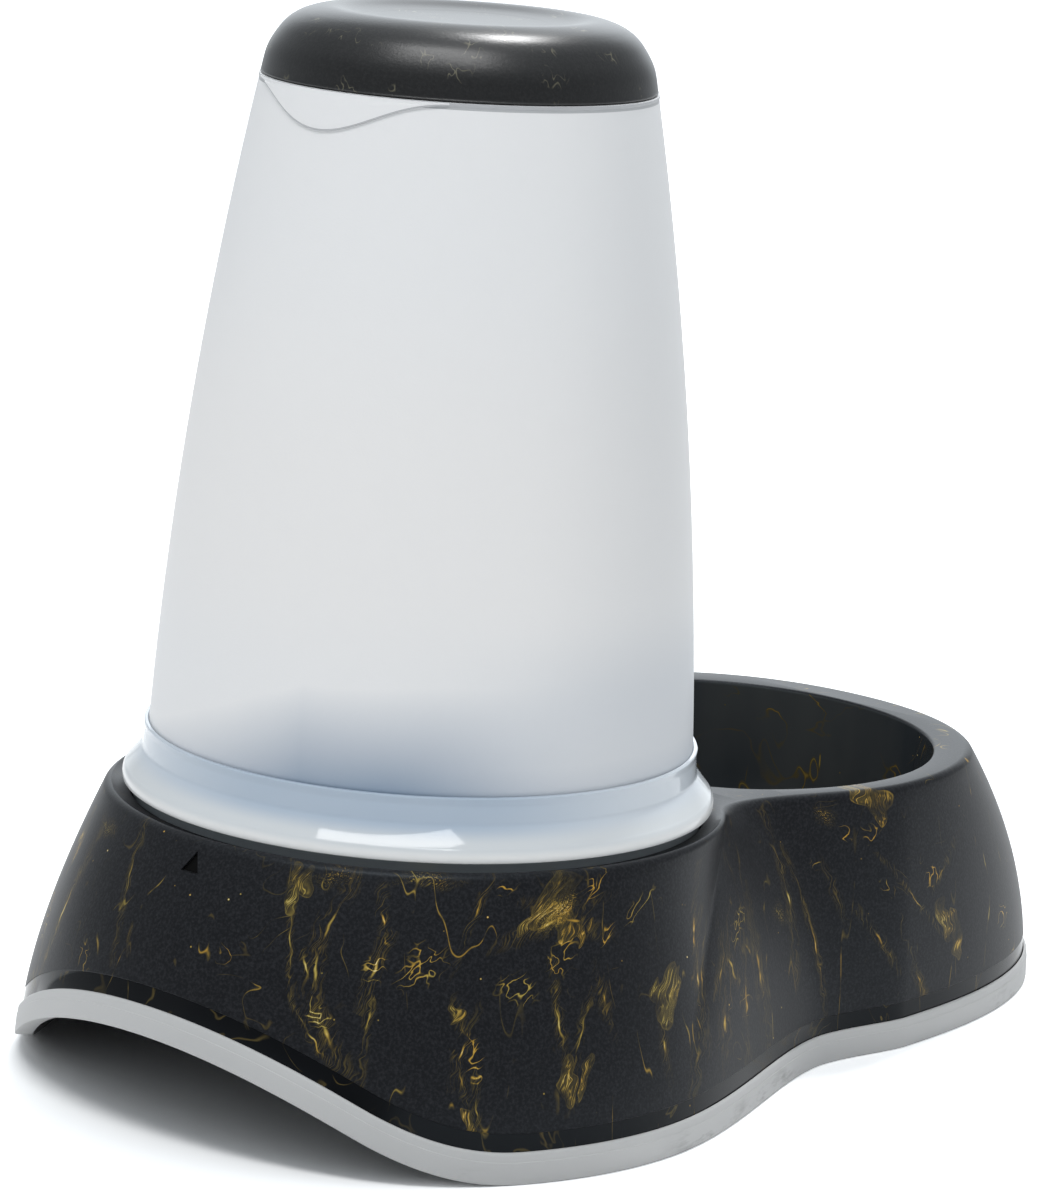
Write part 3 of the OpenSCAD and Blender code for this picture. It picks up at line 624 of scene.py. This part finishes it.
def wall_coordinates(ob):
    """Length along the wall and height as a map, and the materials of the faces."""
    me = ob.data
    co = np.empty(len(me.vertices) * 3)
    me.vertices.foreach_get("co", co)
    co = co.reshape(-1, 3) / MM
    mid = (FOOT + LAND) / 2
    length = np.r_[0, np.cumsum(np.linalg.norm(np.diff(mid, axis=0), axis=1))]
    x, y, z = abs(co[:, 0]), BOTTLE_Y - co[:, 1], co[:, 2]
    u = np.empty(len(co))
    ring = np.empty(len(co))
    for i in range(len(co)):
        s = (np.clip(z[i], 0, TOP) / TOP)**PULL_IN
        p = FOOT + (LAND - FOOT) * s[:, None]
        d = np.hypot(p[:, 0] - x[i], p[:, 1] - y[i])
        k = int(d.argmin())
        near = [j for j in (k - 1, k + 1) if 0 <= j < HALF]
        j = min(near, key=lambda n: d[n])
        t = d[k] / max(d[k] + d[j], 1e-9)
        u[i] = length[k] + (length[j] - length[k]) * t
        ring[i] = RING_TOP[k] + (RING_TOP[j] - RING_TOP[k]) * t
    u *= np.where(co[:, 0] < 0, -1, 1)
    over_ring = z - ring
    uv = me.uv_layers.new(name="wall")
    loop = np.empty(len(me.loops), int)
    me.loops.foreach_get("vertex_index", loop)
    # the map's unit is 100 mm, and faces over the seam at the front keep to one side of it
    flat = np.c_[u[loop], z[loop]] / 100
    for p in me.polygons:
        along = flat[p.loop_start:p.loop_start + p.loop_total, 0]
        if np.ptp(along) > 2:
            along[along < 0] += 2 * length[-1] / 100
        c = p.center / MM
        if math.hypot(c.x, c.y - BOWL_Y) < BOWL_R + 0.2 and c.z < LAND_Z - 0.3:
            p.material_index = 1
        if np.mean([over_ring[i] for i in p.vertices]) < GLOSS_BAND + 0.1:
            p.material_index = 3
        if c.y > 0 and p.area < MARK_AREA and in_mark(c):
            p.material_index = 2
    uv.data.foreach_set("uv", flat.astype(np.float32).ravel())
    mark_maps(me, flat)


wall_coordinates(skin)
piece(skin, "base", "base_shell")

# the rubber ring: one section run round the foot line, as distances in from it and heights
section = [(-0.6, ARCH), (-0.88, ARCH + 0.15), (-1.0, ARCH + 0.6), (-1.0, RING_TOP - 2.5),
           (-0.86, RING_TOP - 2.36), (-0.86, RING_TOP - 0.9), (-0.78, RING_TOP - 0.4),
           (-0.58, RING_TOP - 0.1), (-0.25, RING_TOP), (0.02, RING_TOP), (0.02, ARCH + RING_FLOOR),
           (WALL, ARCH + RING_FLOOR), (WALL + 0.1, RING_TOP), (WALL + 1.2, RING_TOP),
           (WALL + 1.6, RING_TOP - 0.4), (WALL + 1.6, ARCH + 0.3), (WALL + 1.3, ARCH)]
rows = [closed(level(z, inset)) for inset, z in section]
n = len(rows[0])
faces = [f for k in range(len(rows)) for f in joined((k + 1) % len(rows) * n, k * n, n)]
ring = mesh_object("ring_skin", np.concatenate(rows), faces, 30)
set_material(ring, ring_mat)
piece(ring, "base", "foot_ring")


# the bottle's frosted part, with its rim and the tab at the back
def bottle_radius(z):
    t = (z - COLLAR_Z) / (LID_Z - COLLAR_Z)
    return BODY_R + (LID_R - BODY_R) * t + BULGE * 2 * t * (1 - t)


spigot, top_z = LID_R - 2.6, LID_Z + LID_H * 0.45
prof = [(BODY_R - BODY_WALL, 87.0), (BODY_R, 87.0)]
prof += [(bottle_radius(z), z) for z in [*np.linspace(COLLAR_Z, LID_Z - 2, 59), LID_Z - 1.3]]
prof += [(LID_R + 0.30, LID_Z - 1.25), (LID_R + 0.38, LID_Z - 1.0), (LID_R + 0.38, LID_Z - 0.45),
         (LID_R + 0.2, LID_Z - 0.3), (spigot + 0.2, LID_Z - 0.25), (spigot, LID_Z), (spigot, LID_Z + 3.4),
         (spigot - 0.3, LID_Z + 3.9), (spigot - 4.2, top_z - 0.15), (spigot - 4.8, top_z), (0, top_z),
         (0, top_z - BODY_WALL), (spigot - 5.5, top_z - BODY_WALL), (spigot - BODY_WALL, LID_Z + 3.6),
         (spigot - BODY_WALL, LID_Z - 2)]
prof += [(bottle_radius(z) - BODY_WALL, z) for z in np.linspace(LID_Z - 3, COLLAR_Z, 16)]
tank = lathe("tank_skin", prof, sharp=40)
set_material(tank, frost_mat, rim_shade_mat)
piece(tank, "bottle", "tank_body")
# painted shade: the grey band just under the lid's rim
for p in tank.data.polygons:
    c = p.center / MM
    if LID_Z - 1.9 < c.z < LID_Z - 0.2 and math.hypot(c.x, c.y - BOTTLE_Y) > LID_R - 0.3:
        p.material_index = 1


def tab():
    """The tab under the rim, as rows that stand proud of the bottle, from its lower edge up."""
    half = LID_R * math.sin(math.radians(TAB_ANGLE))
    high = LID_Z - 0.45
    rows = [(-0.35, 0, 0), (0.3, 0, 0), (0.5, 0.15, 0), (0.6, 0.5, 0)]
    rows += [(0.6, 0.5, k / 7) for k in range(1, 8)] + [(0.2, 0.5, 1)]
    verts = []
    for proud, up, share in rows:
        for x in np.linspace(-half, half, TAB_STEPS + 1):
            low = LID_Z - 1.3 - TAB_DROP * (1 + math.cos(math.pi * x / half)) / 2 + up
            z = low + (high - low) * share
            r = (bottle_radius(z) if z < LID_Z - 1.3 else LID_R) + proud
            s = x / LID_R
            verts.append((r * s, BOTTLE_Y + r * math.sqrt(1 - s * s), z))
    m = TAB_STEPS + 1
    faces = [(k * m + i, (k + 1) * m + i, (k + 1) * m + i + 1, k * m + i + 1)
             for k in range(len(rows) - 1) for i in range(TAB_STEPS)]
    return mesh_object("tank_tab", verts, faces, 30)


lip = tab()
set_material(lip, frost_mat, rim_shade_mat)
piece(lip, "bottle", "tank_body")
# painted shade along the tab's lower edge
for p in list(lip.data.polygons)[:TAB_STEPS * 3]:
    p.material_index = 1

# the bottle's glossy foot: ridge, collar, flange, skirt, funnel and neck
inner, skirt, neck_in = BODY_R + 0.1, FLANGE_R - 2.8, NECK_R - 2.4
prof = [(inner, COLLAR_Z - 0.15), (inner + 0.25, COLLAR_Z), (inner + 0.95, COLLAR_Z - 0.05),
        (inner + 1.2, COLLAR_Z - 0.4), (74.62, 92.4), (74.45, 91.8), (74.5, 91.2), (74.8, 87.4),
        (74.85, 86.7), (75.2, 86.2)]
prof += [(FLANGE_R - 3.4 * (1 - math.sin(a)), FLANGE_Z + 1.1 + 3.6 * math.cos(a))
         for a in np.radians(np.linspace(38, 90, 14))]
prof += [(FLANGE_R, FLANGE_Z + 0.4), (FLANGE_R - 0.12, FLANGE_Z + 0.1), (FLANGE_R - 0.4, FLANGE_Z),
         (skirt + 0.3, FLANGE_Z), (skirt, FLANGE_Z - 0.3), (skirt, SEAT_Z + 0.3), (skirt - 0.3, SEAT_Z),
         (skirt - 2.1, SEAT_Z), (skirt - 2.4, SEAT_Z + 0.3), (skirt - 2.4, 76), (NECK_R + 4, 65.8),
         (NECK_R + 0.6, 64.7), (NECK_R, 64.1), (NECK_R, NECK_END + 0.4), (NECK_R - 0.4, NECK_END),
         (neck_in + 0.4, NECK_END), (neck_in, NECK_END + 0.4), (neck_in, 67.5), (NECK_R + 2, 68.5),
         (70, 82.5), (70, SOCKET_Z), (inner, SOCKET_Z)]
foot = lathe("foot_skin", prof, segs=224, sharp=32)
set_material(foot, clear_mat)
piece(foot, "bottle", "tank_foot")

# the lid: a round side over a shallow dish, as shares of its radius and height
curve = np.array([(1, 0.0), (0.996, 0.06), (0.989, 0.17), (0.981, 0.286), (0.969, 0.396), (0.948, 0.505),
                  (0.918, 0.637), (0.887, 0.753), (0.836, 0.863), (0.79, 0.925), (0.746, 0.962),
                  (0.705, 0.99), (0.67, 1.0), (0.645, 0.998), (0.62, 0.985), (0.58, 0.955),
                  (0.52, 0.918), (0.4, 0.89)])
run = np.r_[0, np.cumsum(np.linalg.norm(np.diff(curve * [LID_R, LID_H], axis=0), axis=1))]


def smooth_curve(x):
    y = np.interp(np.linspace(0, run[-1], 48), run, x)
    return np.convolve(np.r_[[y[0]] * 2, y, [y[-1]] * 2], np.ones(5) / 5, "valid")


prof = [(LID_R - 0.25, LID_Z), (LID_R - 0.05, LID_Z + 0.12), (LID_R, LID_Z + 0.4)]
prof += [(min(LID_R, LID_R * a), LID_Z + min(1.0, b) * LID_H)
         for a, b in zip(smooth_curve(curve[:, 0]), smooth_curve(curve[:, 1])) if b * LID_H > 0.5]
prof += [(LID_R * 0.25, LID_Z + LID_H - 2), (0, LID_Z + LID_H - 2), (0, LID_Z + LID_H - 4.5),
         (LID_R * 0.66, LID_Z + LID_H - 4.5), (LID_R * 0.8, LID_Z + LID_H * 0.7),
         (LID_R * 0.88, LID_Z + LID_H * 0.5), (LID_R - 2.5, LID_Z + LID_H * 0.22),
         (LID_R - 2.5, LID_Z + 0.2), (LID_R - 2.3, LID_Z)]
lid = lathe("lid_skin", prof, sharp=40)
set_material(lid, lid_mat)
piece(lid, "lid", "lid")


# the valve's plastic pieces keep their solids' shape, with softened edges
def softened(node, name, body, mat, width):
    ob = bpy.data.objects.new(name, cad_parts[node].data.copy())
    bpy.context.collection.objects.link(ob)
    ob.data.materials.clear()
    w = ob.modifiers.new("weld", "WELD")
    w.merge_threshold = 0.00001
    d = ob.modifiers.new("planar", "DECIMATE")
    d.decimate_type, d.angle_limit = "DISSOLVE", math.radians(1)
    b = ob.modifiers.new("bevel", "BEVEL")
    b.width, b.segments, b.limit_method, b.angle_limit = width * MM, 2, "ANGLE", math.radians(40)
    b.use_clamp_overlap = True
    bpy.context.view_layer.objects.active = ob
    for mod in ("weld", "planar", "bevel"):
        bpy.ops.object.modifier_apply(modifier=mod)
    smooth(ob)
    set_material(ob, mat)
    piece(ob, body, node)


softened("valve_cap", "cap_skin", "cap", cap_mat, 0.35)
softened("valve_guide", "guide_skin", "cap", natural_mat, 0.25)
softened("valve_plunger", "plunger_skin", "plunger", natural_mat, 0.3)

# the floor, the light and the camera
scene = bpy.context.scene
scene.view_settings.view_transform = "Standard"


def pale_floor():
    m = Nodes("floor_white")
    to_camera = m.add("LightPath").outputs["Is Camera Ray"]
    # to the camera the floor is whiter than the light that it throws back on the part
    white = m.math("MULTIPLY_ADD", to_camera, 0.36, 0.90)
    away = m.add("VectorMath", {0: m.coord}, operation="LENGTH").outputs["Value"]
    lift = m.times(m.span(away, 0.25, 1.4, smooth=True), to_camera, 0.3)
    diffuse = m.add("BsdfDiffuse", {"Color": white}).outputs[0]
    glow = m.add("Emission", {"Color": (1, 1, 1, 1), "Strength": lift}).outputs[0]
    return m.finish(m.add("AddShader", {0: diffuse, 1: glow}))


floor = mesh_object("floor", [(x, y, 0) for x, y in ((-6000, -6000), (6000, -6000), (6000, 6000),
                                                     (-6000, 6000))], [(0, 1, 2, 3)])
set_material(floor, pale_floor())

world = bpy.data.worlds.new("world")
scene.world = world
world.use_nodes = True
wt = world.node_tree
back = wt.nodes["Background"]


def wn(kind, **props):
    n = wt.nodes.new("ShaderNode" + kind)
    for k, v in props.items():
        setattr(n, k, v)
    return n


def wmath(op, a, b):
    n = wn("Math", operation=op)
    for s, v in ((n.inputs[0], a), (n.inputs[1], b)):
        if isinstance(v, bpy.types.NodeSocket):
            wt.links.new(v, s)
        else:
            s.default_value = v
    return n.outputs[0]


way = wn("SeparateXYZ")
wt.links.new(wn("TexCoord").outputs["Generated"], way.inputs[0])
# the studio is brightest behind the part and darkest behind the photographer
far = wmath("MULTIPLY", way.outputs[0], 0.61)
far = wmath("ADD", far, wmath("MULTIPLY", way.outputs[1], -0.75))
far = wmath("ADD", far, wmath("MULTIPLY", way.outputs[2], 0.25))
ramp = wn("ValToRGB")
wt.links.new(wmath("ADD", wmath("MULTIPLY", far, 0.5), 0.5), ramp.inputs[0])
stops = ((0.0, 0.175), (0.45, 0.215), (0.65, 0.22), (0.82, 0.21), (0.93, 0.27), (0.985, 0.92), (1.0, 1.12))
while len(ramp.color_ramp.elements) < len(stops):
    ramp.color_ramp.elements.new(0.5)
for el, (at, value) in zip(ramp.color_ramp.elements, stops):
    el.position, el.color = at, (value, value, value, 1)
overhead = wmath("POWER", wmath("MAXIMUM", way.outputs[2], 0.0), 3.0)
light = wmath("ADD", wmath("MULTIPLY", ramp.outputs[0], 2.0), wmath("MULTIPLY", overhead, 0.58))
# the camera sees a plain white background
to_camera = wn("LightPath").outputs["Is Camera Ray"]
tone = wn("Mix", data_type="RGBA")
tone.inputs[6].default_value, tone.inputs[7].default_value = (0.90, 0.955, 1.0, 1), (1, 1, 1, 1)
wt.links.new(to_camera, tone.inputs[0])
wt.links.new(tone.outputs[2], back.inputs[0])
wt.links.new(wmath("MAXIMUM", light, to_camera), back.inputs[1])


def area(name, pos, target, power, width, depth):
    lamp = bpy.data.lights.new(name, "AREA")
    lamp.energy, lamp.shape, lamp.size, lamp.size_y = power, "RECTANGLE", width, depth
    o = bpy.data.objects.new(name, lamp)
    bpy.context.collection.objects.link(o)
    o.location = pos
    o.rotation_euler = (Vector(target) - Vector(pos)).to_track_quat("-Z", "Y").to_euler()


area("key", (0.38, -0.95, 2.25), (0, 0, 0.1), 28, 0.34, 0.34)
area("top", (-0.265, 0.69, 1.75), (0, 0.03, 0.15), 13, 1.25, 0.34)

# the camera was solved on the photo: place, direction and roll, and the focal length and the
# image height in the photo's pixels
CAMERA, YAW, PITCH, ROLL = (-0.8101, 1.01955, 0.3953), 140.686, 11.959, -3.610
FOCAL, HEIGHT = 4758.3, 1200
cam = bpy.data.cameras.new("camera")
cam_ob = bpy.data.objects.new("camera", cam)
bpy.context.collection.objects.link(cam_ob)
scene.camera = cam_ob
yaw, pitch, roll = (math.radians(v) for v in (YAW, PITCH, ROLL))
ahead = Vector((math.sin(yaw) * math.cos(pitch), math.cos(yaw) * math.cos(pitch), -math.sin(pitch)))
right = Vector((math.cos(yaw), -math.sin(yaw), 0))
down = ahead.cross(right)
rolled_right = math.cos(roll) * right + math.sin(roll) * down
rolled_down = -math.sin(roll) * right + math.cos(roll) * down
place = Matrix((rolled_right, -rolled_down, -ahead)).transposed().to_4x4()
place.translation = Vector(CAMERA)
cam_ob.matrix_world = place
cam.sensor_fit = "VERTICAL"
cam.sensor_height = 24.0
cam.lens = cam.sensor_height * FOCAL / HEIGHT
cam.clip_end = 50
